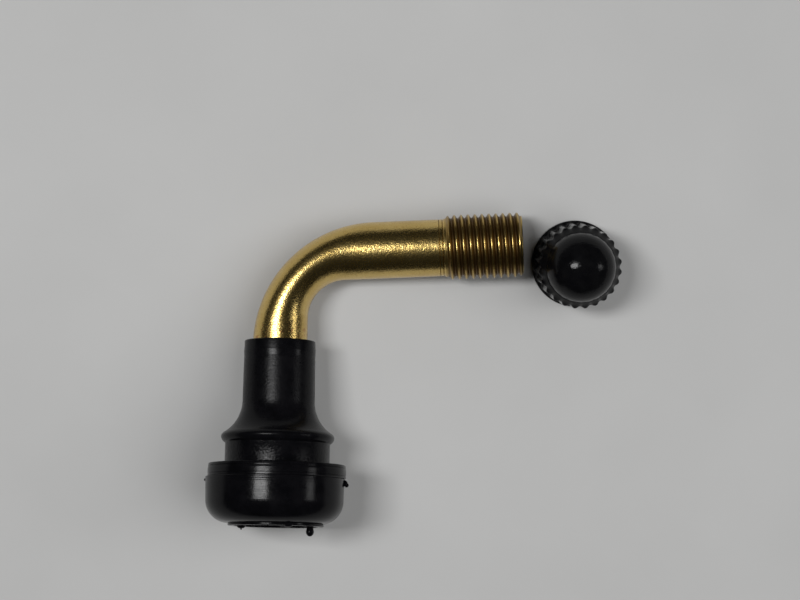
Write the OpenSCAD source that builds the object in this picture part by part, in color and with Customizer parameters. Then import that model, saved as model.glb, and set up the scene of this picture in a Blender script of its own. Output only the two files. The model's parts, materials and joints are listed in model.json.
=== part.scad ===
// Right-angle snap-in tyre valve: a rubber base moulded on a bent brass stem, a screw-in valve core
// inside the stem's threaded end, and a dome cap that has been taken off and stands beside it.
// The valve lies on its side as it comes to rest. Sizes are in millimetres.

/* [Rubber base] */
// Diameter of the flange that seals inside the rim
flange_d = 15.7; // [14:0.1:19]
// Height of the flange, from the bottom to the sealing face
flange_h = 6.7; // [6:0.1:8.5]
// Radius of the flange's rounded bottom corner
flange_corner_r = 2.6; // [1:0.1:3.4]
// Chamfer on the edge of the sealing face
flange_edge = 0.15; // [0.05:0.05:0.4]
// Height of the mould's parting line above the bottom
parting_h = 5.2; // [4:0.1:5.6]
// Sideways mismatch of the two mould halves
mould_shift = 0.2; // [0:0.05:0.4]
// How much larger the lower mould half is in diameter
lower_oversize = 0.08; // [0.02:0.02:0.3]
// Diameter of the groove that the rim's hole grips
groove_d = 11.9; // [10.5:0.1:12.2]
// Width of the groove
groove_w = 2.4; // [2.1:0.1:4]
// How far the lip that snaps through the rim's hole stands out past the groove
lip_step = 0.48; // [0.3:0.01:0.8]
// Height of the lip's straight edge, above its rounded underside
lip_land = 0.5; // [0.2:0.05:1]
// Radius of the hollow flare between the lip and the neck
flare_r = 4.3; // [3:0.1:6]
// Thickness of the rubber around the stem at the neck's top
neck_wall = 0.94; // [0.6:0.01:1.4]
// How much wider the neck is where the flare runs into it
neck_taper = 0.14; // [0:0.02:0.6]
// Length of the neck above the flare
neck_len = 6.85; // [4:0.01:12]
// Chamfer on the neck's top edge
neck_edge = 0.18; // [0.05:0.01:0.35]
// Distance of the bottom's raised ring in from the flange's side
foot_ring_inset = 2.4; // [2:0.1:3.6]
// Width of the raised ring
foot_ring_w = 0.7; // [0.3:0.05:1.5]
// Height of the raised ring
foot_ring_h = 0.3; // [0.1:0.05:0.6]
// How far the bottom's hole stands clear of the stem's air passage, all round
foot_hole_step = 0.3; // [0.1:0.05:1]

/* [Mould marks] */
// Diameter and length of the taller gate stub under the base, which swells at its end
tall_stub = [0.9, 1.35]; // [0.4:0.05:2]
// Diameter and length of the torn, pointed gate stub under the base
torn_stub = [1.1, 0.75]; // [0.4:0.05:2]
// Distance of the gate stubs from the base axis
stub_reach = 3.9; // [2.5:0.05:4.5]
// Diameter of the flash bead on the flange's side, half of which stands out
flash_bead_d = 1; // [0.2:0.05:1.1]
// Height of the flash bead above the bottom
flash_bead_h = 4.65; // [3.6:0.05:4.8]
// Diameter of the small flash on the other side, at the parting line
flash_speck_d = 0.35; // [0.1:0.05:0.6]

/* [Brass stem] */
// Diameter of the stem inside the rubber neck
root_d = 6.2; // [5:0.1:7.6]
// Diameter of the arm between the bend and the thread
arm_d = 6.5; // [5.8:0.1:7]
// Height of the arm's axis above the rubber neck, on the base axis
arm_rise = 10.05; // [9.8:0.05:18]
// Length of the arm from the base axis to its threaded end
arm_len = 27.5; // [26:0.1:36]
// Angle through which the stem is bent
bend_angle = 86.8; // [75:0.1:95]
// Radius of the bend's outer wall, flattened by the bending
bend_outer_r = 14.3; // [12.5:0.1:14.6]
// Radius of the bend's inner wall
bend_inner_r = 4.4; // [3.6:0.1:6]
// Sideways swelling of the flattened bend, on each side
bend_swell = 0.15; // [0:0.05:0.4]
// Bend radius of the air passage
air_bend_r = 9.5; // [8.5:0.1:9.8]
// Diameter of the air passage
air_d = 2.6; // [2:0.1:3]
// Outside diameter of the cap thread
thread_d = 7.6; // [6.8:0.05:9.2]
// Length of the cap thread
thread_len = 9.3; // [7:0.1:11]
// Length of the run-out where the thread begins
thread_runout = 0.6; // [0.2:0.1:1.2]
// Chamfer at the thread's free end
thread_chamfer = 0.5; // [0.2:0.05:0.7]
// Height of the stem's foot above the rubber's bottom
foot_level = 3; // [2:0.1:3.6]
// How far the flared foot that the rubber holds stands out past the root
foot_step = 1.2; // [0.6:0.1:1.8]
// Thickness of the foot's edge
foot_edge = 0.7; // [0.4:0.1:1.2]
// Gap left for the bond between the rubber and the brass
bond = 0.02; // [0.01:0.01:0.05]

/* [Core seat] */
// Mean diameter of the fine thread that holds the core
core_thread_d = 4.95; // [4.8:0.05:5.1]
// Length of the core thread past the plug's own thread
core_thread_spare = 0.9; // [0.5:0.05:1.1]
// Chamfer at the mouth
mouth_chamfer = 0.3; // [0.1:0.05:0.5]
// How far the chamber below the core thread stands in from that thread
chamber_step = 0.275; // [0.1:0.025:0.35]
// Length of the seat cone
seat_len = 1.6; // [1.2:0.1:2]
// Depth of the bore below the seat cone, past the pushed pin
core_bore_spare = 1.9; // [0.5:0.1:2]

/* [Valve core] */
// Depth of the pin's top below the mouth
pin_depth = 0.4; // [0.1:0.05:0.6]
// Diameter of the pin
pin_d = 1.2; // [1:0.05:1.45]
// How far the pin's flattened top stands out past the pin
pin_head_step = 0.15; // [0.1:0.05:0.25]
// Thickness of the pin's flattened top
pin_head_t = 0.35; // [0.2:0.05:0.4]
// Travel of the pin when it is pushed in
pin_travel = 1.5; // [1:0.1:1.5]
// Space left between the pushed pin's flattened top and the plug
head_room = 0.15; // [0.1:0.05:0.3]
// Thickness of the plug's blade on each side of the pin's guide
blade_wall = 0.525; // [0.35:0.025:0.55]
// Height of the blade that stands above the plug's thread
blade_h = 2; // [1.6:0.05:2.4]
// Thickness of the bridge that guides the pin
bridge_t = 1.1; // [0.8:0.05:1.3]
// Length of the plug's thread
plug_thread_len = 2.9; // [2.4:0.1:3]
// Radial clearance of the plug in the core thread
plug_fit = 0.03; // [0.01:0.01:0.05]
// Clearance of the pin's collar in the plug's inner bore
collar_room = 0.2; // [0.1:0.05:0.25]
// Thickness of the plug's crimped skirt around the barrel's flange
skirt_wall = 0.33; // [0.2:0.01:0.4]
// Length of the crimped skirt
skirt_len = 0.8; // [0.6:0.05:1]
// Gap between the plug's skirt and the barrel's collar, which lets the barrel turn
swivel_gap = 0.5; // [0.3:0.05:0.8]
// Clearance of the spring in the barrel's bore
spring_room = 0.15; // [0.1:0.05:0.2]
// Wall of the barrel tube
barrel_wall = 0.3; // [0.2:0.05:0.35]
// How far the barrel's flange, held in the skirt, stands out past the tube
barrel_flange_step = 0.2; // [0.1:0.05:0.25]
// Thickness of the barrel's flange
barrel_flange_t = 0.5; // [0.3:0.05:0.6]
// Clearance of the barrel's collar, above the gasket, in the chamber
chamber_room = 0.2; // [0.1:0.05:0.3]
// Thickness of the barrel's collar above the gasket
collar_t = 0.4; // [0.3:0.05:0.6]
// How far the bead below the gasket stands out past the tube
bead_step = 0.175; // [0.1:0.025:0.2]
// Thickness of the gasket's thin end, which fills the bore round the tube
gasket_toe = 0.3; // [0.25:0.05:0.4]
// Thickness of the bead below the gasket
bead_t = 0.3; // [0.2:0.05:0.4]
// Length of the barrel below the bead
barrel_tail = 1.1; // [0.8:0.1:1.5]
// Gap round the pin for the air's way through the barrel's end
way_gap = 0.25; // [0.2:0.05:0.3]
// Width of the sealing edge at the barrel's end
edge_w = 0.3; // [0.2:0.05:0.4]
// Clearance between pieces that touch and don't move
seat_fit = 0.02; // [0.01:0.01:0.04]
// Radial clearance of the pin in its guide
pin_fit = 0.075; // [0.05:0.005:0.1]
// How far the pin's collar, which the spring pushes, stands out past the spring
pin_collar_lap = 0.1; // [0.05:0.05:0.15]
// Thickness of the pin's collar
pin_collar_t = 0.4; // [0.3:0.05:0.5]
// Distance of the pin's collar below the bridge
pin_collar_drop = 1.2; // [0.9:0.1:1.3]
// Gap between the pin and the spring round it
spring_gap = 0.15; // [0.1:0.05:0.2]
// Diameter of the spring's wire
wire_d = 0.25; // [0.2:0.01:0.28]
// Number of turns in the spring
spring_turns = 8; // [6:1:9]
// How far the rubber seal in the cup reaches past the sealing edge
seal_lap = 0.25; // [0.15:0.05:0.3]
// Thickness of the rubber seal
seal_t = 1; // [0.7:0.05:1.2]
// Wall of the cup that carries the seal
cup_wall = 0.13; // [0.1:0.01:0.2]
// Thickness of the cup's floor
cup_floor = 0.5; // [0.3:0.05:0.7]
// Height of the cup's wall around the seal
cup_wall_h = 0.6; // [0.4:0.05:0.8]
// How far the pin's riveted foot under the cup stands out past the pin
pin_foot_step = 0.35; // [0.2:0.05:0.5]
// Thickness of the pin's riveted foot
pin_foot_t = 0.4; // [0.3:0.05:0.6]

/* [Dome cap] */
// Wall between the cap's thread and the foot of its grip ribs
cap_skin = 0.6; // [0.4:0.05:1.2]
// How far the plain rim at the cap's mouth stands out past the ribs
cap_rim_step = 0.2; // [0.1:0.05:0.5]
// Height of the plain rim
cap_rim_h = 0.9; // [0.5:0.1:1.5]
// Depth of the grip ribs
rib_depth = 0.3; // [0.15:0.05:0.45]
// Number of grip ribs
rib_count = 24; // [16:1:36]
// Height of the ribs' upper end above the mouth
rib_top_h = 7.2; // [5:0.1:9]
// Height of the sloped shoulder above the ribs
shoulder_h = 0.8; // [0.4:0.1:1.5]
// How far the dome stands in from the foot of the ribs
dome_step = 0.5; // [0.2:0.05:1]
// Height of the dome above the shoulder
dome_h = 3.7; // [3:0.1:3.9]
// Clearance of the cap's bore around the stem's thread, in diameter
cap_fit = 0.15; // [0.1:0.01:0.3]
// Depth of the cap's threaded bore
cap_bore_depth = 7; // [4:0.1:7.2]
// Thickness of the cap's dome over its hollow
dome_wall = 1.1; // [0.8:0.1:1.6]
// Chamfer at the cap's mouth
cap_lead = 0.3; // [0.1:0.05:0.5]
// Gap between the stem's end and the cap's rim
cap_apart = 1.4; // [0.5:0.1:6]
// How far the cap stands from the arm's axis, towards the base
cap_aside = 1.9; // [0:0.1:6]

/* [Hidden] */
$fn = 96;
brass = [0.80, 0.64, 0.32];
black_rubber = [0.06, 0.06, 0.065];
seal_rubber = [0.16, 0.10, 0.08];
spring_steel = [0.62, 0.62, 0.60];
black_plastic = [0.04, 0.04, 0.045];
// Overshoot of cutting tools, so that no cut ends flush with a face
past = 0.5;
// Depth to which the cap's ribs are sunk in its wall, so that their edges don't lie on its surface
rib_sink = 0.06;

// Sizes of the rubber base, and its levels up its own axis
lip_d = groove_d + 2 * lip_step;
neck_top_d = root_d + 2 * neck_wall;
neck_foot_d = neck_top_d + neck_taper;
foot_ring_d = flange_d - 2 * foot_ring_inset;
foot_hole_d = air_d + 2 * foot_hole_step;
lip_foot_h = flange_h + groove_w;
lip_land_h = lip_foot_h + lip_step;
lip_top_h = lip_land_h + lip_land;
flare_axis_r = neck_foot_d / 2 + flare_r;
flare_top_h = lip_top_h + sqrt(pow(flare_r, 2) - pow(flare_axis_r - lip_d / 2, 2));
neck_top_h = flare_top_h + neck_len;
lower_r = (flange_d + lower_oversize) / 2;

// Sizes of the stem's foot, and the arm's level up the base axis
foot_d = root_d + 2 * foot_step;
arm_axis_h = neck_top_h + arm_rise;

// The bend: two wall arcs that run tangent to the straight walls of the root and the arm
bend_reach = tan(bend_angle / 2);
arm_dir = [sin(bend_angle), cos(bend_angle)];
bend_rings = 24;
bend_sides = 40;
// The swept bend is this much thinner at its two ends, and this far inside the straight tubes
bend_inset = 0.03;
bend_overlap = 0.1;
bend_lead = 0.25;

// Corner where the straight walls would cross: side is -1 on the outside and 1 on the inside
function wall_corner(side) = [
    side * root_d / 2,
    arm_axis_h + side * (root_d / 2 / tan(bend_angle) - arm_d / 2 / sin(bend_angle))
];
function wall_centre(side, r) = wall_corner(side) + [r, -r * bend_reach];
function wall_point(side, r, turn) = wall_centre(side, r) + r * [-cos(turn), sin(turn)];
function along_arm(p) = (p - [0, arm_axis_h]) * arm_dir;
root_end_h = wall_point(-1, bend_outer_r, 0)[1] - bend_lead;
arm_start = along_arm(wall_point(-1, bend_outer_r, bend_angle)) + bend_lead;

// One ring of the bend: its middle and half-width vector in the bend's plane, and its sideways half-width
function bend_ring(share) =
    let (
        outside = wall_point(-1, bend_outer_r, bend_angle * share),
        inside = wall_point(1, bend_inner_r, bend_angle * share),
        straight = (root_d + (arm_d - root_d) * share) / 2
    )
    [(outside + inside) / 2, (inside - outside) / 2, straight + bend_swell * pow(sin(180 * share), 2)];
root_ring = [[0, root_end_h], [root_d / 2 - bend_inset, 0], root_d / 2 - bend_inset];
arm_ring = [
    [0, arm_axis_h] + arm_start * arm_dir,
    (arm_d / 2 - bend_inset) * [arm_dir[1], -arm_dir[0]],
    arm_d / 2 - bend_inset
];
function ring_points(ring) = [
    for (i = [0:bend_sides - 1])
        let (a = 360 * i / bend_sides, p = ring[0] + ring[1] * cos(a))
        [p[0], ring[2] * sin(a), p[1]]
];

// Resting pose: the flange's edge, the bend and the start of the thread all touch the ground. The base
// axis dips towards the bend, and the arm rolls up towards its end.
flange_reach = arm_axis_h - flange_h + flange_edge;
thread_start = arm_len - thread_len + thread_runout;
// How far a point in the bend's plane lies below the arm's axis at the base axis
function drop(p, dip, roll) = p[1] * sin(dip) - p[0] * sin(roll) * cos(dip);
function ring_height(ring, dip, roll) =
    drop(ring[0] - [0, arm_axis_h], dip, roll)
    + norm([ring[2] * cos(roll) * cos(dip), drop(ring[1], dip, roll)]);
function bend_height(dip, roll) =
    max([for (i = [0:bend_rings]) ring_height(bend_ring(i / bend_rings), dip, roll)]);
function rest_dip(height) =
    acos(height / norm([flange_reach, flange_d / 2])) - atan2(flange_reach, flange_d / 2);
function rest_roll(height, dip) =
    let (climb = thread_d / 2 + thread_start * arm_dir[1] * sin(dip) - height)
    asin(climb / thread_start / arm_dir[0] / cos(dip));
function settled(dip, roll, passes) =
    let (height = bend_height(dip, roll))
    passes == 0
        ? [dip, roll, height]
        : settled(rest_dip(height), rest_roll(height, dip), passes - 1);
// First guess of the dip and the roll, and the passes after which they no longer change
rest_guess = [10, 2];
rest_passes = 16;
rest_pose = settled(rest_guess[0], rest_guess[1], rest_passes);
dip = rest_pose[0];
roll = rest_pose[1];
rest_h = rest_pose[2];

// Radii of the cap, from its thread outwards
cap_bore_r = (thread_d + cap_fit) / 2;
rib_root_r = cap_bore_r + cap_skin;
rib_tip_r = rib_root_r + rib_depth;
cap_rim_r = rib_tip_r + cap_rim_step;
dome_base_r = rib_root_r - dome_step;
dome_r = (pow(dome_base_r, 2) + pow(dome_h, 2)) / 2 / dome_h;
dome_foot_h = rib_top_h + shoulder_h;
dome_centre_h = dome_foot_h + dome_h - dome_r;

// The cap's place, and the middle of the whole object, seen from above
cap_x = arm_len * arm_dir[0] + cap_apart + cap_rim_r;
cap_y = arm_len * arm_dir[1] * cos(dip) - cap_aside;
left_x = -lower_r - mould_shift - flash_speck_d / 2;
right_x = cap_x + cap_rim_r;
near_y = -(arm_axis_h + tall_stub[1]) * cos(dip);
far_y = (arm_len * arm_dir[1] + thread_d / 2) * cos(dip);
middle = [(left_x + right_x) / 2, (near_y + far_y) / 2];

// Diameters of the core's pieces and of the bores that hold them, from the pin outwards
pin_head_d = pin_d + 2 * pin_head_step;
pin_foot_d = pin_d + 2 * pin_foot_step;
guide_d = pin_d + 2 * pin_fit;
blade_w = guide_d + 2 * blade_wall;
spring_d = pin_d + 2 * (spring_gap + wire_d);
pin_collar_d = spring_d + 2 * pin_collar_lap;
plug_bore_d = pin_collar_d + 2 * collar_room;
barrel_bore_d = spring_d + 2 * spring_room;
barrel_d = barrel_bore_d + 2 * barrel_wall;
barrel_flange_d = barrel_d + 2 * barrel_flange_step;
skirt_d = barrel_flange_d + 2 * (seat_fit + skirt_wall);
bead_d = barrel_d + 2 * bead_step;
barrel_way_d = pin_d + 2 * way_gap;
barrel_edge_d = barrel_way_d + 2 * edge_w;
seal_d = barrel_edge_d + 2 * seal_lap;
cup_d = seal_d + 2 * (seat_fit + cup_wall);
core_bore_d = barrel_d + 2 * gasket_toe;
chamber_d = core_thread_d - 2 * chamber_step;
collar_d = chamber_d - 2 * chamber_room;

// Depths of the core's pieces and of the bores that hold them, from the mouth inwards
plug_depth = pin_depth + pin_head_t + pin_travel + head_room;
plug_thread_depth = plug_depth + blade_h;
skirt_depth = plug_thread_depth + plug_thread_len;
skirt_end = skirt_depth + skirt_len;
core_thread_depth = skirt_depth + core_thread_spare;
seat_depth = skirt_end + swivel_gap + collar_t;
barrel_top = skirt_end - 2 * barrel_flange_t;
spring_floor = seat_depth + seat_len;
bead_end = spring_floor + bead_t;
barrel_end = bead_end + barrel_tail;
pin_collar_top = plug_depth + bridge_t + pin_collar_drop;
pin_collar_end = pin_collar_top + pin_collar_t;
seal_top = barrel_end + seat_fit;
seal_end = seal_top + seal_t;
cup_end = seal_end + seat_fit + cup_floor;
pin_end = cup_end + seat_fit + pin_foot_t;
core_bore_depth = pin_end + pin_travel + core_bore_spare;

// Lays the standing valve down in its resting pose, with the whole object centred on the origin
module lying() {
    translate([-middle[0], -middle[1], rest_h])
        rotate([-90 - dip, 0, 0])
            rotate([0, 0, -roll])
                translate([0, 0, -arm_axis_h])
                    children();
}

// Puts children on the arm's axis, with their Z axis running from the mouth into the stem
module from_mouth() {
    lying()
        translate([0, 0, arm_axis_h])
            rotate([0, bend_angle, 0])
                translate([0, 0, arm_len])
                    rotate([180, 0, 0])
                        children();
}

// A turned piece in the core: its outline is given as [radius, depth] points
module turned(outline) {
    from_mouth() rotate_extrude() polygon(outline);
}

// Half section of the base above the parting line: flange, groove, lip, hollow flare and neck
module upper_section() {
    difference() {
        polygon([
            [0, parting_h],
            [flange_d / 2, parting_h],
            [flange_d / 2, flange_h - flange_edge],
            [flange_d / 2 - flange_edge, flange_h],
            [groove_d / 2, flange_h],
            [groove_d / 2, lip_land_h],
            [lip_d / 2, lip_land_h],
            [lip_d / 2, flare_top_h],
            [neck_foot_d / 2, flare_top_h],
            [neck_top_d / 2, neck_top_h - neck_edge],
            [neck_top_d / 2 - neck_edge, neck_top_h],
            [0, neck_top_h]
        ]);
        translate([flare_axis_r, flare_top_h]) circle(flare_r);
    }
    translate([groove_d / 2, lip_land_h]) circle(lip_step);
}

// Half section of the base below the parting line, with its rounded bottom corner
module lower_section() {
    square([lower_r - flange_corner_r, parting_h]);
    translate([0, flange_corner_r]) square([lower_r, parting_h - flange_corner_r]);
    translate([lower_r - flange_corner_r, flange_corner_r]) circle(flange_corner_r);
}

// Half section of the stem's foot and root, grown by the given gap
module root_section(grow, top_h) {
    foot_r = foot_d / 2 + grow;
    root_r = root_d / 2 + grow;
    edge_h = foot_level + foot_edge + grow;
    polygon([
        [0, foot_level - grow],
        [foot_r, foot_level - grow],
        [foot_r, edge_h],
        [root_r, edge_h + foot_r - root_r],
        [root_r, top_h],
        [0, top_h]
    ]);
}

// Ring and gate stubs under the base, and the flash on the flange's sides
module mould_marks() {
    translate([0, 0, -foot_ring_h])
        difference() {
            cylinder(d = foot_ring_d, h = foot_ring_h + past);
            translate([0, 0, -past])
                cylinder(d = foot_ring_d - 2 * foot_ring_w, h = foot_ring_h + 3 * past);
        }
    translate([stub_reach, 0, -tall_stub[1] + tall_stub[0] / 2]) {
        cylinder(d = 0.8 * tall_stub[0], h = tall_stub[1]);
        sphere(d = tall_stub[0]);
    }
    translate([-stub_reach, 0, -torn_stub[1]])
        cylinder(d1 = torn_stub[0] / 4, d2 = torn_stub[0], h = torn_stub[1] + past / 2);
    translate([lower_r - mould_shift, 0, flash_bead_h]) sphere(d = flash_bead_d);
    translate([-lower_r - mould_shift, 0, parting_h - flash_speck_d]) sphere(d = flash_speck_d);
}

module rubber_base() {
    color(black_rubber)
        lying()
            difference() {
                union() {
                    rotate_extrude() upper_section();
                    translate([-mould_shift, 0, 0]) rotate_extrude() lower_section();
                    mould_marks();
                }
                rotate_extrude() root_section(bond, neck_top_h + past);
                translate([0, 0, -foot_ring_h - past])
                    cylinder(d = foot_hole_d, h = foot_level + foot_ring_h + past);
            }
}

// The bent part of the stem, swept through oval rings that follow the two wall arcs
module bend() {
    rings = [root_ring, for (i = [0:bend_rings]) bend_ring(i / bend_rings), arm_ring];
    last = len(rings) - 1;
    points = [for (ring = rings) each ring_points(ring)];
    function at(r, i) = r * bend_sides + i % bend_sides;
    walls = [
        for (r = [0:last - 1], i = [0:bend_sides - 1])
            each [
                [at(r, i), at(r + 1, i + 1), at(r, i + 1)],
                [at(r, i), at(r + 1, i), at(r + 1, i + 1)]
            ]
    ];
    root_face = [for (i = [0:bend_sides - 1]) at(0, i)];
    arm_face = [for (i = [bend_sides - 1:-1:0]) at(last, i)];
    polyhedron(points, [root_face, each walls, arm_face]);
}

// Half section of the arm, from the bend to the chamfered end of its thread, measured from the mouth
module arm_section() {
    thread_r = thread_d / 2;
    inner_end = arm_len - arm_start + bend_overlap;
    polygon([
        [0, 0],
        [thread_r - thread_chamfer, 0],
        [thread_r, thread_chamfer],
        [thread_r, thread_len - thread_runout],
        [arm_d / 2, thread_len],
        [arm_d / 2, inner_end],
        [0, inner_end]
    ]);
}

// Half section of the bores in the arm: mouth, core thread, chamber, seat cone, core bore and air passage
module arm_bore_section() {
    thread_r = core_thread_d / 2;
    chamber_r = chamber_d / 2;
    bore_r = core_bore_d / 2;
    air_end = arm_len - air_bend_r * bend_reach + bend_overlap;
    polygon([
        [0, -past],
        [thread_r + mouth_chamfer + past, -past],
        [thread_r, mouth_chamfer],
        [thread_r, core_thread_depth],
        [chamber_r, core_thread_depth + thread_r - chamber_r],
        [chamber_r, seat_depth],
        [bore_r, seat_depth + seat_len],
        [bore_r, core_bore_depth],
        [air_d / 2, core_bore_depth + bore_r - air_d / 2],
        [0, core_bore_depth + bore_r - air_d / 2]
    ]);
    translate([0, core_bore_depth]) square([air_d / 2, max(air_end - core_bore_depth, past)]);
}

// The air passage from the foot up the root and round the bend, where it is a little wider
module root_bore() {
    bend_start_h = arm_axis_h - air_bend_r * bend_reach;
    translate([0, 0, foot_level - past])
        cylinder(d = air_d, h = bend_start_h - foot_level + past + bend_overlap);
    translate([air_bend_r, 0, bend_start_h])
        rotate([90, 0, 0])
            rotate([0, 0, 180 - bend_angle])
                rotate_extrude(angle = bend_angle)
                    translate([air_bend_r, 0]) circle(d = air_d + bend_overlap);
}

module stem() {
    color(brass)
        difference() {
            union() {
                lying() rotate_extrude() root_section(0, root_end_h + bend_overlap);
                lying() bend();
                from_mouth() rotate_extrude() arm_section();
            }
            from_mouth() rotate_extrude() arm_bore_section();
            lying() root_bore();
        }
}

// Threaded plug: a blade with two flats for the core tool, a threaded body and a crimped skirt
module core_plug() {
    body_r = core_thread_d / 2 - plug_fit;
    pocket_r = barrel_flange_d / 2 + seat_fit;
    color(brass)
        from_mouth()
            difference() {
                union() {
                    intersection() {
                        translate([0, 0, plug_depth]) cylinder(d = chamber_d, h = blade_h + past);
                        translate([-chamber_d, -blade_w / 2, plug_depth])
                            cube([2 * chamber_d, blade_w, blade_h + past]);
                    }
                    translate([0, 0, plug_thread_depth]) cylinder(r = body_r, h = plug_thread_len);
                    translate([0, 0, plug_thread_depth + past])
                        cylinder(d = skirt_d, h = plug_thread_len + skirt_len - past);
                }
                translate([0, 0, plug_depth - past]) cylinder(d = guide_d, h = bridge_t + 2 * past);
                translate([0, 0, plug_depth + bridge_t])
                    cylinder(d = plug_bore_d, h = barrel_top - plug_depth - bridge_t);
                translate([0, 0, barrel_top - seat_fit])
                    cylinder(r = pocket_r, h = barrel_flange_t + 2 * seat_fit);
                translate([0, 0, barrel_top])
                    cylinder(d = barrel_d + 2 * seat_fit, h = skirt_end - barrel_top + past);
            }
}

// Tube below the plug: it holds the spring, carries the gasket and ends in the sealing edge
module core_barrel() {
    tube_r = barrel_d / 2;
    color(brass)
        turned([
            [barrel_bore_d / 2, barrel_top],
            [barrel_flange_d / 2, barrel_top],
            [barrel_flange_d / 2, barrel_top + barrel_flange_t],
            [tube_r, barrel_top + barrel_flange_t],
            [tube_r, seat_depth - collar_t],
            [collar_d / 2, seat_depth - collar_t],
            [collar_d / 2, seat_depth - seat_fit],
            [tube_r, seat_depth - seat_fit],
            [tube_r, spring_floor + seat_fit],
            [bead_d / 2, spring_floor + seat_fit],
            [bead_d / 2, bead_end],
            [tube_r, bead_end],
            [barrel_edge_d / 2, barrel_end],
            [barrel_way_d / 2, barrel_end],
            [barrel_way_d / 2, spring_floor],
            [barrel_bore_d / 2, spring_floor]
        ]);
}

// Tapered ring that seals the barrel in the seat cone
module barrel_gasket() {
    inner_r = barrel_d / 2 + seat_fit;
    color(seal_rubber)
        turned([
            [inner_r, seat_depth],
            [chamber_d / 2 - 2 * seat_fit, seat_depth],
            [core_bore_d / 2 - 2 * seat_fit, spring_floor],
            [inner_r, spring_floor]
        ]);
}

// Coil spring between the barrel's floor and the pin's collar, swept as a round wire
module core_spring() {
    coil_r = (spring_d - wire_d) / 2;
    start = pin_collar_end + seat_fit + wire_d / 2;
    end = spring_floor - seat_fit - wire_d / 2;
    turn_steps = 14;
    sides = 8;
    steps = turn_steps * spring_turns;
    points = [
        for (k = [0:steps], i = [0:sides - 1])
            let (
                turn = 360 * spring_turns * k / steps,
                a = 360 * i / sides,
                r = coil_r + wire_d / 2 * cos(a)
            )
            [r * cos(turn), r * sin(turn), start + (end - start) * k / steps + wire_d / 2 * sin(a)]
    ];
    function at(k, i) = k * sides + i % sides;
    walls = [
        for (k = [0:steps - 1], i = [0:sides - 1])
            each [
                [at(k, i), at(k, i + 1), at(k + 1, i + 1)],
                [at(k, i), at(k + 1, i + 1), at(k + 1, i)]
            ]
    ];
    first_face = [for (i = [sides - 1:-1:0]) at(0, i)];
    last_face = [for (i = [0:sides - 1]) at(steps, i)];
    color(spring_steel) from_mouth() polyhedron(points, [first_face, each walls, last_face]);
}

// Pin that opens the valve: flattened top, spring collar and riveted foot
module valve_pin() {
    rod_r = pin_d / 2;
    head_r = pin_head_d / 2;
    color(brass)
        turned([
            [0, pin_depth],
            [rod_r, pin_depth],
            [head_r, pin_depth + head_r - rod_r],
            [head_r, pin_depth + pin_head_t],
            [rod_r, pin_depth + pin_head_t],
            [rod_r, pin_collar_top],
            [pin_collar_d / 2, pin_collar_top],
            [pin_collar_d / 2, pin_collar_end],
            [rod_r, pin_collar_end],
            [rod_r, cup_end + seat_fit],
            [pin_foot_d / 2, cup_end + seat_fit],
            [pin_foot_d / 2, pin_end],
            [0, pin_end]
        ]);
}

// Cup on the pin's lower end, which holds the seal against the barrel
module plunger_cup() {
    hole_r = pin_d / 2 + seat_fit;
    pocket_r = seal_d / 2 + seat_fit;
    color(brass)
        turned([
            [hole_r, cup_end - cup_floor],
            [pocket_r, cup_end - cup_floor],
            [pocket_r, cup_end - cup_floor - cup_wall_h],
            [cup_d / 2, cup_end - cup_floor - cup_wall_h],
            [cup_d / 2, cup_end],
            [hole_r, cup_end]
        ]);
}

// Rubber ring in the cup that closes on the barrel's sealing edge
module plunger_seal() {
    hole_r = pin_d / 2 + seat_fit;
    color(seal_rubber)
        turned([[hole_r, seal_top], [seal_d / 2, seal_top], [seal_d / 2, seal_end], [hole_r, seal_end]]);
}

// Half section of the cap's outside, without its ribs
module cap_section() {
    polygon([
        [0, 0],
        [cap_rim_r, 0],
        [cap_rim_r, cap_rim_h],
        [rib_root_r, cap_rim_h + cap_rim_r - rib_root_r],
        [rib_root_r, rib_top_h],
        [dome_base_r, dome_foot_h],
        [0, dome_foot_h]
    ]);
    intersection() {
        translate([0, dome_centre_h]) circle(dome_r);
        translate([0, dome_foot_h - past]) square([dome_base_r, dome_h + 2 * past]);
    }
}

// The ring of grip ribs, with sloped ends
module grip_ribs() {
    valley_r = rib_root_r - rib_sink;
    step = 180 / rib_count;
    intersection() {
        linear_extrude(rib_top_h)
            polygon([
                for (i = [0:2 * rib_count - 1])
                    (i % 2 == 0 ? rib_tip_r : valley_r) * [cos(i * step), sin(i * step)]
            ]);
        rotate_extrude()
            polygon([
                [0, cap_rim_h / 2],
                [cap_rim_r, cap_rim_h / 2],
                [cap_rim_r, rib_top_h - (cap_rim_r - rib_root_r)],
                [rib_root_r - past, rib_top_h + past],
                [0, rib_top_h + past]
            ]);
    }
}

// Half section of the cap's inside: the threaded bore, and a hollow under the dome's wall above it
module cap_bore_section() {
    hollow_r = dome_r - dome_wall;
    polygon([
        [0, -past],
        [cap_bore_r + cap_lead + past, -past],
        [cap_bore_r, cap_lead],
        [cap_bore_r, cap_bore_depth],
        [hollow_r, cap_bore_depth + cap_bore_r - hollow_r],
        [0, cap_bore_depth + cap_bore_r - hollow_r]
    ]);
    translate([0, cap_bore_depth]) square([hollow_r, max(dome_centre_h - cap_bore_depth, past)]);
    intersection() {
        translate([0, dome_centre_h]) circle(hollow_r);
        translate([0, dome_centre_h - past]) square([hollow_r, hollow_r + 2 * past]);
    }
}

module cap() {
    color(black_plastic)
        translate([cap_x - middle[0], cap_y - middle[1], 0])
            difference() {
                union() {
                    rotate_extrude() cap_section();
                    grip_ribs();
                }
                rotate_extrude() cap_bore_section();
            }
}

rubber_base();
stem();
core_plug();
core_barrel();
barrel_gasket();
core_spring();
valve_pin();
plunger_cup();
plunger_seal();
cap();
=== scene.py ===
import json
import math

import bmesh
import bpy
from mathutils import Matrix, Vector


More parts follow.
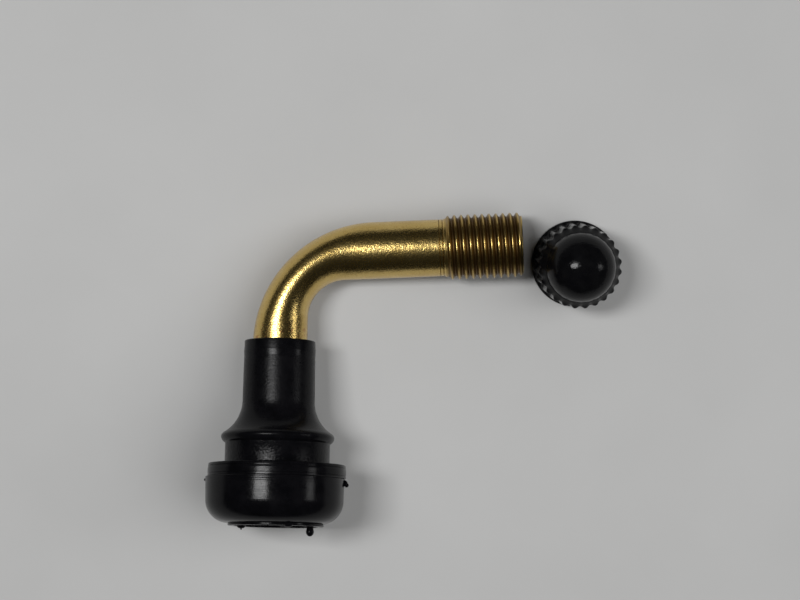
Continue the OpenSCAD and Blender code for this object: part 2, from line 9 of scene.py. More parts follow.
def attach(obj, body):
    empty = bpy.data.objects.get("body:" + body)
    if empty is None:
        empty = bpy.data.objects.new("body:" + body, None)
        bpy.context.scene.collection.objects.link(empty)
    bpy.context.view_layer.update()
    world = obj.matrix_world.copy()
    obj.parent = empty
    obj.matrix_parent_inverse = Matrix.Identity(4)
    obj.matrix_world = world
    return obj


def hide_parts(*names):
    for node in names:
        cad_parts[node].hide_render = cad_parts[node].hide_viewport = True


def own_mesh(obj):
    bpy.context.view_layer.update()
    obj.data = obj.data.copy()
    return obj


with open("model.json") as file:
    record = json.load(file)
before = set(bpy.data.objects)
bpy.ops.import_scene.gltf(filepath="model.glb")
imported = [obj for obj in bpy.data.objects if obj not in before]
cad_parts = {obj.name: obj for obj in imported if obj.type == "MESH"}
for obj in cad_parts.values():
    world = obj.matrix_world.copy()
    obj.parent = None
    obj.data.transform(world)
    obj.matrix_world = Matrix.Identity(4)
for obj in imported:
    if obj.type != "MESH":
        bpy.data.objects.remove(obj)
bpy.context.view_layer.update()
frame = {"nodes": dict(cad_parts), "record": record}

# The stem: one brass tube, drawn, bent cold through nearly a right angle so that the bend is a little
# flattened, and tumbled to a fine grain. Its foot is flared to hold in the rubber, and its free end is
# rolled with the cap thread outside and cut with the finer core thread inside.
MM = 0.001
STEM_SIDES, BEND_ROWS, AIR_BEND_STEPS = 96, 57, 32
WELD_GAP = 0.002
foot_level, foot_r, foot_edge = 3.0, 4.3, 0.7
root_d, arm_d = 6.2, 6.5
arm_axis_h, arm_len = 30.797, 27.5
bend_angle = math.radians(86.8)
bend_outer_r, bend_inner_r, bend_swell = 14.3, 4.4, 0.13
root_end_h, arm_start = 20.1059, 10.8497
air_r, air_bend_r = 1.3, 9.5
cap_thread_pitch = 0.794
cap_thread_len = 9.3 - cap_thread_pitch / 2
cap_thread_root_r, cap_thread_depth = 3.29, 0.40
cap_thread_run_in, cap_thread_run_out = 0.55, 0.35
roller_lines, roller_line_depth = (0.55, 0.17), 0.06
core_thread_pitch, core_thread_r, core_thread_depth = 0.706, 2.475, 0.17
core_thread_run_in, core_thread_run_out = 0.4, 0.3
core_thread_end, mouth_chamfer = 8.2, 0.3
chamber_r, seat_depth, seat_end, core_bore_r, core_bore_end = 2.2, 9.0, 10.6, 1.75, 17.36


class Rule:
    """A number that a node tree works out at every point of a sheet."""

    def __init__(self, tree, socket):
        self.tree = tree
        self.socket = socket

    def step(self, operation, *others):
        node = self.tree.nodes.new("ShaderNodeMath")
        node.operation = operation
        for socket, value in zip(node.inputs, (self, *others)):
            if isinstance(value, Rule):
                self.tree.links.new(value.socket, socket)
            else:
                socket.default_value = value
        return Rule(self.tree, node.outputs[0])

    def __add__(self, other):
        return self.step("ADD", other)

    def __sub__(self, other):
        return self.step("SUBTRACT", other)

    def __mul__(self, other):
        return self.step("MULTIPLY", other)

    def __truediv__(self, other):
        return self.step("DIVIDE", other)

    def least(self, other):
        return self.step("MINIMUM", other)

    def most(self, other):
        return self.step("MAXIMUM", other)

    def within(self, low, high):
        return self.most(low).least(high)

    def sine(self):
        return self.step("SINE")

    def cosine(self):
        return self.step("COSINE")


def sheet_tree(name, sizes, shape):
    """A node tree that shapes a grid of rows and columns into a sheet. The named sizes are its inputs."""
    tree = bpy.data.node_groups.new(name, "GeometryNodeTree")
    tree.interface.new_socket("Sheet", in_out="OUTPUT", socket_type="NodeSocketGeometry")
    for count in ("Rows", "Columns"):
        tree.interface.new_socket(count, in_out="INPUT", socket_type="NodeSocketInt")
    for size in sizes:
        tree.interface.new_socket(size, in_out="INPUT", socket_type="NodeSocketFloat")
    tree.interface.new_socket("Finish", in_out="INPUT", socket_type="NodeSocketMaterial")
    given = tree.nodes.new("NodeGroupInput")
    grid = tree.nodes.new("GeometryNodeMeshGrid")
    grid.inputs["Size X"].default_value = 1
    grid.inputs["Size Y"].default_value = 1
    tree.links.new(given.outputs["Rows"], grid.inputs["Vertices X"])
    tree.links.new(given.outputs["Columns"], grid.inputs["Vertices Y"])
    split = tree.nodes.new("ShaderNodeSeparateXYZ")
    tree.links.new(tree.nodes.new("GeometryNodeInputPosition").outputs[0], split.inputs[0])
    along = Rule(tree, split.outputs["X"]) + 0.5
    around = Rule(tree, split.outputs["Y"]) + 0.5
    given_sizes = {size: Rule(tree, given.outputs[size]) for size in ("Rows", *sizes)}
    place = tree.nodes.new("ShaderNodeCombineXYZ")
    for socket, rule in zip(place.inputs, shape(along, around, given_sizes)):
        tree.links.new(rule.socket, socket)
    moved = tree.nodes.new("GeometryNodeSetPosition")
    tree.links.new(grid.outputs["Mesh"], moved.inputs["Geometry"])
    tree.links.new(place.outputs[0], moved.inputs["Position"])
    real = tree.nodes.new("GeometryNodeRealizeInstances")
    tree.links.new(moved.outputs[0], real.inputs[0])
    finish = tree.nodes.new("GeometryNodeSetMaterial")
    tree.links.new(real.outputs[0], finish.inputs["Geometry"])
    tree.links.new(given.outputs["Finish"], finish.inputs["Material"])
    tree.links.new(finish.outputs[0], tree.nodes.new("NodeGroupOutput").inputs[0])
    return tree


def sheet(tree, finish, rows, columns, sizes):
    """The plain mesh of one sheet."""
    host = bpy.data.objects.new("sheet", bpy.data.meshes.new("sheet"))
    bpy.context.scene.collection.objects.link(host)
    shaper = host.modifiers.new("shape", "NODES")
    shaper.node_group = tree
    sockets = {i.name: i.identifier for i in tree.interface.items_tree if i.in_out == "INPUT"}
    for size, value in {"Rows": rows, "Columns": columns, "Finish": finish, **sizes}.items():
        shaper[sockets[size]] = value
    made = host.evaluated_get(bpy.context.evaluated_depsgraph_get())
    mesh = bpy.data.meshes.new_from_object(made)
    host.modifiers.remove(shaper)
    bpy.data.objects.remove(host)
    return mesh


def ring_sheet(rings):
    """The plain mesh of a skin over a row of rings with as many points each."""
    sides = len(rings[0])
    skin = bpy.data.meshes.new("rings")
    faces = []
    for row in range(len(rings) - 1):
        for i in range(sides):
            j = (i + 1) % sides
            this_row, next_row = row * sides, (row + 1) * sides
            faces.append((this_row + i, this_row + j, next_row + j, next_row + i))
    skin.from_pydata([point for ring in rings for point in ring], [], faces)
    return skin


def ring(radius, centre, across, sideways, sides):
    """The points of a circle that lies across two directions."""
    turns = [math.tau * i / sides for i in range(sides)]
    return [centre + radius * (math.cos(a) * across + math.sin(a) * sideways) for a in turns]


def eased(corners, steps=4):
    """A half section whose corners (radius, height, easing) are rounded by their easing."""
    line = []
    for i, (r, h, easing) in enumerate(corners):
        if easing == 0 or i in (0, len(corners) - 1):
            line.append((r, h))
            continue
        corner = Vector((r, h))
        before = Vector(corners[i - 1][:2]) - corner
        after = Vector(corners[i + 1][:2]) - corner
        start = corner + before.normalized() * min(easing, before.length / 2)
        end = corner + after.normalized() * min(easing, after.length / 2)
        for k in range(steps + 1):
            t = k / steps
            line.append(tuple((1 - t) ** 2 * start + 2 * t * (1 - t) * corner + t * t * end))
    return line


def closed_piece(name, sheets, place, finish, crease):
    """Joins sheets that meet edge to edge into one closed piece, in its place in the frame."""
    form = bmesh.new()
    for mesh in sheets:
        form.from_mesh(mesh)
        bpy.data.meshes.remove(mesh)
    bmesh.ops.remove_doubles(form, verts=form.verts, dist=WELD_GAP)
    bmesh.ops.recalc_face_normals(form, faces=form.faces)
    form.transform(place)
    mesh = bpy.data.meshes.new(name)
    form.to_mesh(mesh)
    form.free()
    mesh.materials.clear()
    mesh.materials.append(finish)
    mesh.polygons.foreach_set("material_index", [0] * len(mesh.polygons))
    mesh.polygons.foreach_set("use_smooth", [True] * len(mesh.polygons))
    mesh.set_sharp_from_angle(angle=math.radians(crease))
    piece = bpy.data.objects.new(name, mesh)
    bpy.context.scene.collection.objects.link(piece)
    return piece


class Finish:
    """A material under construction: its nodes, and the shader at its end."""

    def __init__(self, name, **sockets):
        self.material = bpy.data.materials.new(name)
        self.material.use_nodes = True
        self.tree = self.material.node_tree
        self.shader = self.tree.nodes["Principled BSDF"]
        for socket, value in sockets.items():
            self.shader.inputs[socket.replace("_", " ")].default_value = value
        self.coordinates = self.add("ShaderNodeTexCoord").outputs["Object"]

    def add(self, kind, settings=None, **inputs):
        node = self.tree.nodes.new(kind)
        for key, value in (settings or {}).items():
            setattr(node, key, value)
        for key, value in inputs.items():
            numbered = key[0] == "i" and key[1:].isdigit()
            socket = node.inputs[int(key[1:])] if numbered else node.inputs[key]
            if isinstance(value, bpy.types.NodeSocket):
                self.tree.links.new(value, socket)
            else:
                socket.default_value = value
        return node

    def noise(self, grain, detail=3.0, rough=0.55):
        """Noise with a grain of that many millimetres."""
        return self.add(
            "ShaderNodeTexNoise", Vector=self.coordinates, Scale=1 / (grain * MM), Detail=detail,
            Roughness=rough,
        ).outputs["Fac"]

    def height_along(self, axis, start):
        """Distance in millimetres along an axis of the piece, from a start point."""
        operation = {"operation": "DOT_PRODUCT"}
        dot = self.add("ShaderNodeVectorMath", operation, i0=self.coordinates, i1=axis).outputs["Value"]
        return self.number("MULTIPLY_ADD", dot, 1 / MM, -start.dot(axis) / MM)

    def number(self, operation, *values):
        """One step of arithmetic on values and sockets."""
        inputs = {f"i{i}": value for i, value in enumerate(values)}
        return self.add("ShaderNodeMath", {"operation": operation}, **inputs).outputs[0]

    def spread(self, value, low, high, to_low=0.0, to_high=1.0):
        """Takes low..high of a value to to_low..to_high, with the ends held."""
        inputs = {"From Min": low, "From Max": high, "To Min": to_low, "To Max": to_high}
        return self.add("ShaderNodeMapRange", Value=value, **inputs).outputs["Result"]

    def mixed(self, share, first, second):
        """A colour between two, by share."""
        node = self.add("ShaderNodeMix", {"data_type": "RGBA"}, Factor=share)
        for index, colour in ((6, first), (7, second)):
            if isinstance(colour, bpy.types.NodeSocket):
                self.tree.links.new(colour, node.inputs[index])
            else:
                node.inputs[index].default_value = (*colour, 1)
        return node.outputs[2]

    def relief(self, height, depth):
        """Bumps of that many millimetres, laid over the bumps before."""
        bump = self.add("ShaderNodeBump", Height=height, Distance=depth * MM, Strength=1.0)
        normal = self.shader.inputs["Normal"]
        if normal.is_linked:
            self.tree.links.new(normal.links[0].from_socket, bump.inputs["Normal"])
        self.tree.links.new(bump.outputs["Normal"], normal)

    def set(self, socket, value):
        self.tree.links.new(value, self.shader.inputs[socket])


mounts = {mount["name"]: mount for mount in frame["record"]["mounts"]}
arm_axis = Vector(mounts["stem_thread"]["axis"]).normalized()
base_axis = Vector(mounts["rim_groove"]["axis"]).normalized()
flange_h, groove_w = 6.7, 2.4
base_foot = Vector(mounts["rim_groove"]["pos_m"]) - base_axis * (flange_h + groove_w / 2) * MM
towards_arm = (arm_axis - base_axis * arm_axis.dot(base_axis)).normalized()
valve_place = Matrix.Translation(base_foot) @ Matrix(
    (towards_arm, base_axis.cross(towards_arm), base_axis)
).transposed().to_4x4() @ Matrix.Scale(MM, 4)

neck_top_h, stain_reach = 20.747, 2.6
bright_brass, dull_brass, dark_grain = (0.73, 0.535, 0.195), (0.65, 0.455, 0.145), (0.42, 0.26, 0.07)
# root_dirt_and_shade: dark brown laid into the thread's roots and flanks and into the roller lines, partly
# dirt and partly painted shade
copper_stain, root_dirt_and_shade = (0.34, 0.10, 0.04), (0.08, 0.038, 0.014)
brass = Finish("drawn_brass", Metallic=1.0)
grain = brass.noise(0.17, 2.0, 0.6)
patches = brass.noise(2.4, 3.0)
tone = brass.mixed(brass.spread(patches, 0.35, 0.7), bright_brass, dull_brass)
tone = brass.mixed(brass.spread(grain, 0.5, 0.7, 0.0, 0.5), tone, dark_grain)
up_stem = brass.height_along(base_axis, base_foot)
above_neck = brass.spread(up_stem, neck_top_h, neck_top_h + stain_reach, 1.0, 0.0)
stains = brass.number("MULTIPLY", brass.spread(brass.noise(0.45, 2.0), 0.56, 0.66), above_neck)
tone = brass.mixed(brass.number("MULTIPLY", stains, 0.75), tone, copper_stain)
# Painted shade, with some dirt: the groove attribute darkens the thread's roots and flanks and the roller
# lines, most where they lie deepest.
dirt_and_shade = brass.add("ShaderNodeAttribute", {"attribute_name": "groove"}).outputs["Fac"]
tone = brass.mixed(brass.number("MULTIPLY", dirt_and_shade, 0.9), tone, root_dirt_and_shade)
brass.set("Base Color", tone)
grain_sheen = brass.spread(grain, 0.3, 0.7, 0.20, 0.30)
brass.set("Roughness", brass.number("MULTIPLY_ADD", dirt_and_shade, 0.2, grain_sheen))
brass.relief(grain, 0.02)
brass.relief(brass.noise(0.9, 2.0), 0.022)


def bent_tube(along, around, size):
    """A tube wall between two arcs that run tangent to the straight walls before and after the bend."""
    angle, reach = size["Bend angle"], (size["Bend angle"] * 0.5).step("TANGENT")
    skew = size["Root radius"] / angle.step("TANGENT") - size["Arm radius"] / angle.sine()
    turn = angle * along

    def wall(side, radius):
        x = size["Root radius"] * side + radius - radius * turn.cosine()
        return x, size["Arm level"] + skew * side - radius * reach + radius * turn.sine()

    outer, inner = wall(-1, size["Outer wall radius"]), wall(1, size["Inner wall radius"])
    lean = (around * math.tau).cosine()
    swelling = (along * math.pi).sine()
    width = size["Root radius"] + (size["Arm radius"] - size["Root radius"]) * along
    width = width + size["Side swelling"] * swelling * swelling
    x, z = ((o + i) * 0.5 + (i - o) * 0.5 * lean for o, i in zip(outer, inner))
    return x, width * (around * math.tau).sine(), z


def screw_thread(along, around, size):
    """A thread on a cylinder: its rows follow the helix and stop at flat ends, where it fades out."""
    climb = (along * (size["Rows"] - 1) / size["Rows per turn"] - 1) * size["Pitch"]
    level = (climb + size["Pitch"] * around).within(0, size["Length"])
    share = (climb / size["Pitch"]).step("FRACT")
    tooth = ((share * 2 - 1).step("ABSOLUTE") * -1 + 1 - size["Root share"]) / size["Flank share"]
    fade = (level / size["Run-in"]).least((size["Length"] - level) / size["Run-out"])
    radius = size["Root radius"] + size["Depth"] * tooth.within(0, 1) * fade.within(0, 1)
    turn = around * math.tau
    return radius * turn.cosine(), radius * turn.sine(), level


BEND_SIZES = (
    "Root radius", "Arm radius", "Bend angle", "Outer wall radius", "Inner wall radius", "Arm level",
    "Side swelling",
)
THREAD_SIZES = (
    "Pitch", "Length", "Root radius", "Depth", "Root share", "Flank share", "Run-in", "Run-out",
    "Rows per turn",
)
bend_tree = sheet_tree("bent_tube", BEND_SIZES, bent_tube)
thread_tree = sheet_tree("screw_thread", THREAD_SIZES, screw_thread)


def thread_sheet(finish, sides, pitch, length, radius, depth, run_in, run_out, rows_per_turn):
    """The plain mesh of one thread. With a negative depth its crests point inwards."""
    rows = math.ceil((length / pitch + 1) * rows_per_turn) + 1
    return sheet(thread_tree, finish, rows, sides + 1, {
        "Pitch": pitch, "Length": length, "Root radius": radius, "Depth": depth, "Root share": 0.16,
        "Flank share": 0.70, "Run-in": run_in, "Run-out": run_out, "Rows per turn": float(rows_per_turn),
    })


arm_dir = Vector((math.sin(bend_angle), 0, math.cos(bend_angle)))
arm_in = Vector((math.cos(bend_angle), 0, -math.sin(bend_angle)))
side_dir = Vector((0, 1, 0))
up_dir = Vector((0, 0, 1))
in_dir = Vector((1, 0, 0))
arm_origin = Vector((0, 0, arm_axis_h))


def root_rings(section):
    return [ring(r, h * up_dir, in_dir, side_dir, STEM_SIDES) for r, h in section]


def arm_rings(section):
    """Rings of (radius, depth from the mouth)."""
    places = [(r, arm_origin + (arm_len - depth) * arm_dir) for r, depth in section]
    return [ring(r, centre, arm_in, side_dir, STEM_SIDES) for r, centre in places]


def on_arm(mesh, depth):
    """Moves a thread sheet, whose first row lies at that depth, on to the arm."""
    turn = Matrix((-arm_in, -side_dir, arm_dir)).transposed().to_4x4()
    mesh.transform(Matrix.Translation(arm_origin + (arm_len - depth) * arm_dir) @ turn)
    return mesh


def scored(before):
    """A fine line that the thread roller leaves round the arm, that far before the thread."""
    depth, r = cap_thread_len + before, arm_d / 2
    half_w = roller_line_depth
    edge = half_w + 0.04
    return [
        (r, depth + edge), (r, depth + half_w), (r - roller_line_depth, depth), (r, depth - half_w),
        (r, depth - edge),
    ]


foot_cone_h = foot_level + foot_edge + foot_r - root_d / 2
bend_sheet = sheet(bend_tree, brass.material, BEND_ROWS, STEM_SIDES + 1, {
    "Root radius": root_d / 2, "Arm radius": arm_d / 2, "Bend angle": bend_angle,
    "Outer wall radius": bend_outer_r, "Inner wall radius": bend_inner_r, "Arm level": arm_axis_h,
    "Side swelling": bend_swell,
})


def bend_end(side_r, turn):
    """The ring at one end of the bend. It leans, because the wall arcs start at different levels."""
    reach = math.tan(bend_angle / 2)
    skew = root_d / 2 / math.tan(bend_angle) - arm_d / 2 / math.sin(bend_angle)
    ends = []
    for side, r in ((-1, bend_outer_r), (1, bend_inner_r)):
        x = side * root_d / 2 + r - r * math.cos(turn)
        ends.append(Vector((x, 0, arm_axis_h + side * skew - r * reach + r * math.sin(turn))))
    middle, half = (ends[0] + ends[1]) / 2, (ends[1] - ends[0]) / 2
    turns = [math.tau * i / STEM_SIDES for i in range(STEM_SIDES)]
    return [middle + half * math.cos(a) + side_dir * side_r * math.sin(a) for a in turns]


air_level = arm_axis_h - air_bend_r * math.tan(bend_angle / 2)
air_rings = []
for k in range(AIR_BEND_STEPS + 1):
    t = bend_angle * k / AIR_BEND_STEPS
    centre = Vector((air_bend_r * (1 - math.cos(t)), 0, air_level + air_bend_r * math.sin(t)))
    air_rings.append(ring(air_r, centre, Vector((math.cos(t), 0, -math.sin(t))), side_dir, STEM_SIDES))
mouth_r = core_thread_r + mouth_chamfer
stem_sheets = [
    ring_sheet(
        root_rings(eased([
            (air_r, foot_level, 0), (foot_r, foot_level, 0.15), (foot_r, foot_level + foot_edge, 0.15),
            (root_d / 2, foot_cone_h, 0.3), (root_d / 2, root_end_h, 0),
        ])) + [bend_end(root_d / 2, 0)]
    ),
    bend_sheet,
    ring_sheet(
        [bend_end(arm_d / 2, bend_angle)]
        + arm_rings([
            (arm_d / 2, arm_len - arm_start), (arm_d / 2, cap_thread_len + 4),
            *(point for before in roller_lines for point in scored(before)),
            (arm_d / 2, cap_thread_len + 0.04), (cap_thread_root_r, cap_thread_len),
        ])
    ),
    on_arm(thread_sheet(
        brass.material, STEM_SIDES, cap_thread_pitch, cap_thread_len, cap_thread_root_r, cap_thread_depth,
        cap_thread_run_in, cap_thread_run_out, rows_per_turn=12,
    ), cap_thread_len),
    ring_sheet(arm_rings(eased([
        (cap_thread_root_r, 0, 0), (mouth_r, 0, 0.08), (core_thread_r, mouth_chamfer, 0),
    ]))),
    on_arm(thread_sheet(
        brass.material, STEM_SIDES, core_thread_pitch, core_thread_end - mouth_chamfer, core_thread_r,
        core_thread_depth, core_thread_run_in, core_thread_run_out, rows_per_turn=8,
    ), core_thread_end),
    ring_sheet(
        arm_rings([
            (core_thread_r, core_thread_end), (chamber_r, core_thread_end + core_thread_r - chamber_r),
            (chamber_r, seat_depth), (core_bore_r, seat_end), (core_bore_r, core_bore_end),
            (air_r, core_bore_end + core_bore_r - air_r),
        ])
        + air_rings[::-1]
        + root_rings([(air_r, foot_level)])
    ),
]
stem = closed_piece("brass_stem", stem_sheets, valve_place, brass.material, crease=34)
# The groove attribute marks where painted shade and some dirt darken the brass: it rises steeply from the
# thread's crests into its roots, and is full in the roller lines.
groove = stem.data.attributes.new("groove", "FLOAT", "POINT")
mouth = valve_place @ (arm_origin + arm_len * arm_dir)
for point in stem.data.vertices:
    offset = point.co - mouth
    depth = -offset.dot(arm_axis) / MM
    out = (offset - arm_axis * offset.dot(arm_axis)).length / MM
    if 0 < depth < cap_thread_len and out > cap_thread_root_r - 0.02:
        sunk = 1 - (out - cap_thread_root_r) / cap_thread_depth
        fade = min(1.0, depth / 0.3, (cap_thread_len - depth) / 0.5)
        groove.data[point.index].value = max(0.0, sunk) ** 0.3 * fade
    elif depth < cap_thread_len + 1 and abs(arm_d / 2 - roller_line_depth - out) < roller_line_depth / 2:
        groove.data[point.index].value = 1.0
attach(stem, "valve")
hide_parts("stem")

# The rubber base: black rubber moulded on the root of the stem in a two-part mould. Its flange seals
# inside the rim, the groove above grips the rim's hole, and the lip snaps through it. The mould leaves a
# step where its halves met, a ring and gate stubs underneath, and a little flash.
RUBBER_SIDES = 144
flange_r, lower_r, corner_r, parting_h, mould_shift = 7.85, 7.886, 2.6, 5.2, 0.2
groove_r, lip_foot_h = 5.95, flange_h + groove_w
neck_foot_r, neck_top_r, flare_r = 4.11, 4.04, 4.3
neck_ring = ((0.012, 2.0), (0.01, 1.85), (0.045, 1.3), (0.045, 1.2), (0.01, 0.7))
flare_centre = Vector((neck_foot_r + flare_r, 13.897))
hole_r, bond = 1.6, 0.02
ring_outer_r, ring_inner_r, ring_h = 5.45, 4.75, 0.3
stub_reach = 3.9
flange_line_h, flange_taper_h = 5.49, 6.1
skid_lines = (4.55, 4.8, 5.0)
mould_draft = 0.024

rubber = Finish("satin_rubber", Specular_IOR_Level=0.12)
up_base = rubber.height_along(base_axis, base_foot)
mould_rows = rubber.add(
    "ShaderNodeTexNoise", {"noise_dimensions": "1D"}, W=up_base, Scale=7.0, Detail=2.0, Roughness=0.6
).outputs["Fac"]
bloom = rubber.noise(1.6, 4.0)
speckle = rubber.noise(0.24, 2.0, 0.6)
rubber.set("Base Color", rubber.mixed(
    rubber.spread(bloom, 0.35, 0.75), (0.0022, 0.0022, 0.0028), (0.0046, 0.0044, 0.0054)
))
in_groove = rubber.number(
    "MULTIPLY", rubber.spread(up_base, flange_h, flange_h + 0.2, 0.06, 0.8),
    rubber.spread(up_base, lip_foot_h - 0.2, lip_foot_h, 1.0, 0.06),
)
on_neck = rubber.number(
    "MULTIPLY", rubber.spread(up_base, 13.0, 14.0), rubber.spread(up_base, 18.4, 18.9, 0.26, 0.0)
)
polish = rubber.number("MULTIPLY_ADD", on_neck, 0.3, rubber.spread(up_base, 6.6, 9.5, -0.05, 0.0))
rubber.set("Roughness", rubber.number("ADD", polish, rubber.number(
    "ADD", rubber.spread(speckle, 0.3, 0.7, 0.18, 0.27), rubber.spread(bloom, 0.3, 0.7, -0.02, 0.04)
)))
rubber.relief(rubber.number("MULTIPLY", speckle, rubber.number("ADD", in_groove, on_neck)), 0.06)
rubber.relief(mould_rows, 0.006)


def arc(centre, radius, start, end, steps):
    """The points of an arc in a half section, from one angle in degrees to another."""
    turns = [math.radians(start + (end - start) * k / steps) for k in range(steps + 1)]
    return [(centre[0] + radius * math.cos(t), centre[1] + radius * math.sin(t)) for t in turns]


def line_in(radius, level, width, depth):
    """A fine line pressed into an upright wall."""
    inner = radius - depth
    return [
        (radius, level - width * 1.3), (radius, level - width), (inner, level - width / 3),
        (inner, level + width / 3), (radius, level + width), (radius, level + width * 1.3),
    ]


lip_bead = [
    (0.04, 0.0), (0.12, 0.04), (0.28, 0.17), (0.39, 0.34), (0.455, 0.5), (0.48, 0.62), (0.475, 0.76),
    (0.43, 0.89), (0.35, 0.99),
]
flare_top = math.degrees(math.acos((flare_centre.x - groove_r - 0.25) / flare_r))
corner_centre = (lower_r - mould_draft * (parting_h - corner_r) - corner_r, corner_r)
lower_wall = arc(corner_centre, corner_r, -83, 0, 18)
for level in skid_lines:
    lower_wall += line_in(lower_r - mould_draft * (parting_h - level), level, 0.03, 0.016)
lower_wall += [(lower_r, parting_h - 0.1), (lower_r, parting_h - 0.06), (lower_r - 0.05, parting_h)]
upper_wall = [(flange_r - 0.06, parting_h), (flange_r, parting_h + 0.06), (flange_r, parting_h + 0.09)]
upper_wall += line_in(flange_r, flange_line_h, 0.06, 0.04)
upper_wall += [(flange_r, flange_taper_h - 0.05), (flange_r - 0.004, flange_taper_h)]
upper_wall += line_in(flange_r - 0.04, flange_taper_h + 0.26, 0.05, 0.04)
upper_wall += eased([
    (flange_r - 0.06, flange_h - 0.14, 0), (flange_r - 0.08, flange_h, 0.1),
    (groove_r + 0.1, flange_h, 0.08), (groove_r, flange_h + 0.12, 0.08), (groove_r, lip_foot_h - 0.06, 0),
])
upper_wall += [(groove_r + out, lip_foot_h + up) for out, up in lip_bead]
upper_wall += arc(flare_centre, flare_r, 180 + flare_top, 180, 18)
root_gap_r, foot_gap_r = root_d / 2 + bond, foot_r + bond
upper_wall += eased([
    (neck_foot_r - 0.004, flare_centre.y + 0.3, 0),
    *((neck_top_r + out, neck_top_h - down, 0) for out, down in neck_ring),
    (neck_top_r, neck_top_h, 0.13), (root_gap_r, neck_top_h, 0.06), (root_gap_r, foot_cone_h + bond, 0),
    (foot_gap_r, foot_level + foot_edge + bond, 0), (foot_gap_r, foot_level - bond, 0),
    (hole_r, foot_level - bond, 0),
])
underside = eased([
    (hole_r, foot_level - bond, 0), (hole_r, 0, 0.15), (ring_inner_r, 0, 0.06),
    (ring_inner_r, -ring_h, 0.06), (ring_outer_r, -ring_h, 0.14), (ring_outer_r - 0.03, -0.02, 0),
])
tall_stub = [
    (0, 0.6), (0.36, 0.6), (0.36, -0.3), (0.4, -0.55), (0.45, -0.8), (0.44, -0.98), (0.36, -1.15),
    (0.22, -1.29), (0.08, -1.345), (0, -1.35),
]
short_stub = [
    (0, 0.6), (0.56, 0.6), (0.53, -0.2), (0.47, -0.42), (0.3, -0.55), (0.1, -0.6), (0.05, -0.74),
    (0, -0.75),
]
ring_lump = [(0, 0), (0.42, 0), (0.42, -0.4), (0.38, -0.47), (0.26, -0.5), (0, -0.5)]
flash_beads = (
    (lower_r - mould_shift, 4.72, 0.36), (lower_r - mould_shift + 0.24, 4.5, 0.26),
    (-lower_r - mould_shift, parting_h - 0.35, 0.175),
)


def rubber_rings(section, shift):
    return [ring(r, Vector((shift, 0, h)), in_dir, side_dir, RUBBER_SIDES) for r, h in section]


def lump(section, centre, sides=20):
    """A small turned lump of flash, sunk in the rubber that it stands on."""
    return ring_sheet([ring(r, centre + h * up_dir, in_dir, side_dir, sides) for r, h in section])


def bead(centre, radius, steps=12):
    turns = [math.pi * k / steps for k in range(steps + 1)]
    return lump([(radius * math.sin(t), radius * math.cos(t)) for t in turns], centre)


base_sheets = [
    ring_sheet(
        rubber_rings(underside, 0) + rubber_rings(lower_wall, -mould_shift) + rubber_rings(upper_wall, 0)
    ),
    lump(tall_stub, Vector((stub_reach, 0, 0))),
    lump(short_stub, Vector((-stub_reach, 0, 0))),
    lump(ring_lump, Vector((1.75, -4.62, 0))),
    *(bead(Vector((x, 0, h)), r) for x, h, r in flash_beads),
]
rubber_base = closed_piece("rubber_body", base_sheets, valve_place, rubber.material, crease=40)
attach(rubber_base, "valve")
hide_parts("rubber_base")

# The valve core: brass plug, barrel, pin and cup, which screw into the mouth of the stem as one. They are
# turned on a lathe, so fine tool marks run round the arm's axis. The gasket on the barrel and the seal in
# the cup are moulded from brown rubber. All six are the CAD shapes, and only their finish is set here.
core_brass = Finish("turned_brass", Metallic=1.0)
along_arm = core_brass.height_along(arm_axis, mouth)
tool_marks = core_brass.add(
    "ShaderNodeTexNoise", {"noise_dimensions": "1D"}, W=along_arm, Scale=14.0, Detail=3.0, Roughness=0.7
).outputs["Fac"]
core_brass.set("Base Color", core_brass.mixed(
    core_brass.spread(core_brass.noise(0.6), 0.35, 0.7), (0.80, 0.63, 0.30), (0.66, 0.48, 0.20)
))
core_brass.set("Roughness", core_brass.spread(tool_marks, 0.3, 0.7, 0.20, 0.36))
core_brass.relief(tool_marks, 0.006)
core_brass.relief(core_brass.noise(0.12), 0.003)
seal_rubber = Finish("brown_seal_rubber", Specular_IOR_Level=0.4)
seal_rubber.set("Base Color", seal_rubber.mixed(
    seal_rubber.spread(seal_rubber.noise(0.5), 0.3, 0.7), (0.11, 0.055, 0.038), (0.075, 0.036, 0.026)
))
seal_rubber.set("Roughness", seal_rubber.spread(seal_rubber.noise(0.2), 0.3, 0.7, 0.5, 0.7))
seal_rubber.relief(seal_rubber.noise(0.1), 0.006)
for node, finish in (
    ("core_plug", core_brass), ("core_barrel", core_brass), ("valve_pin", core_brass),
    ("plunger_cup", core_brass), ("barrel_gasket", seal_rubber), ("plunger_seal", seal_rubber),
):
    node_mesh = frame["nodes"][node].data
    node_mesh.materials.clear()
    node_mesh.materials.append(finish.material)

# The core spring: steel wire wound round the pin, with closed coils at both ends. It stands on the
# barrel's floor and pushes the pin's collar; the real one shortens as the pin goes in, here it is built at
# one fixed length.
WIRE_SIDES, ROWS_PER_COIL = 10, 28
spring_turns, wire_r, coil_r, end_closing = 8, 0.125, 0.875, 0.5
spring_top, spring_floor = 5.12, 10.58
spring_length = spring_floor - spring_top
spring_steel = Finish("spring_wire", Metallic=1.0)
spring_steel.set("Base Color", spring_steel.mixed(
    spring_steel.spread(spring_steel.noise(0.4), 0.35, 0.7), (0.58, 0.58, 0.56), (0.42, 0.42, 0.41)
))
spring_steel.set("Roughness", spring_steel.spread(spring_steel.noise(0.12), 0.3, 0.7, 0.22, 0.4))
spring_steel.relief(spring_steel.noise(0.05), 0.002)


def coil(along, around, size):
    """A wire wound on a cylinder, with the pitch drawn in towards both ends."""
    turn = along * size["Turns"] * math.tau
    rise = along - (along * math.tau).sine() * size["End closing"] / math.tau
    out = size["Coil radius"] + size["Wire radius"] * (around * math.tau).cosine()
    level = size["Wire radius"] + (size["Length"] - size["Wire radius"] * 2) * rise
    level = level + size["Wire radius"] * (around * math.tau).sine()
    return out * turn.cosine(), out * turn.sine(), level


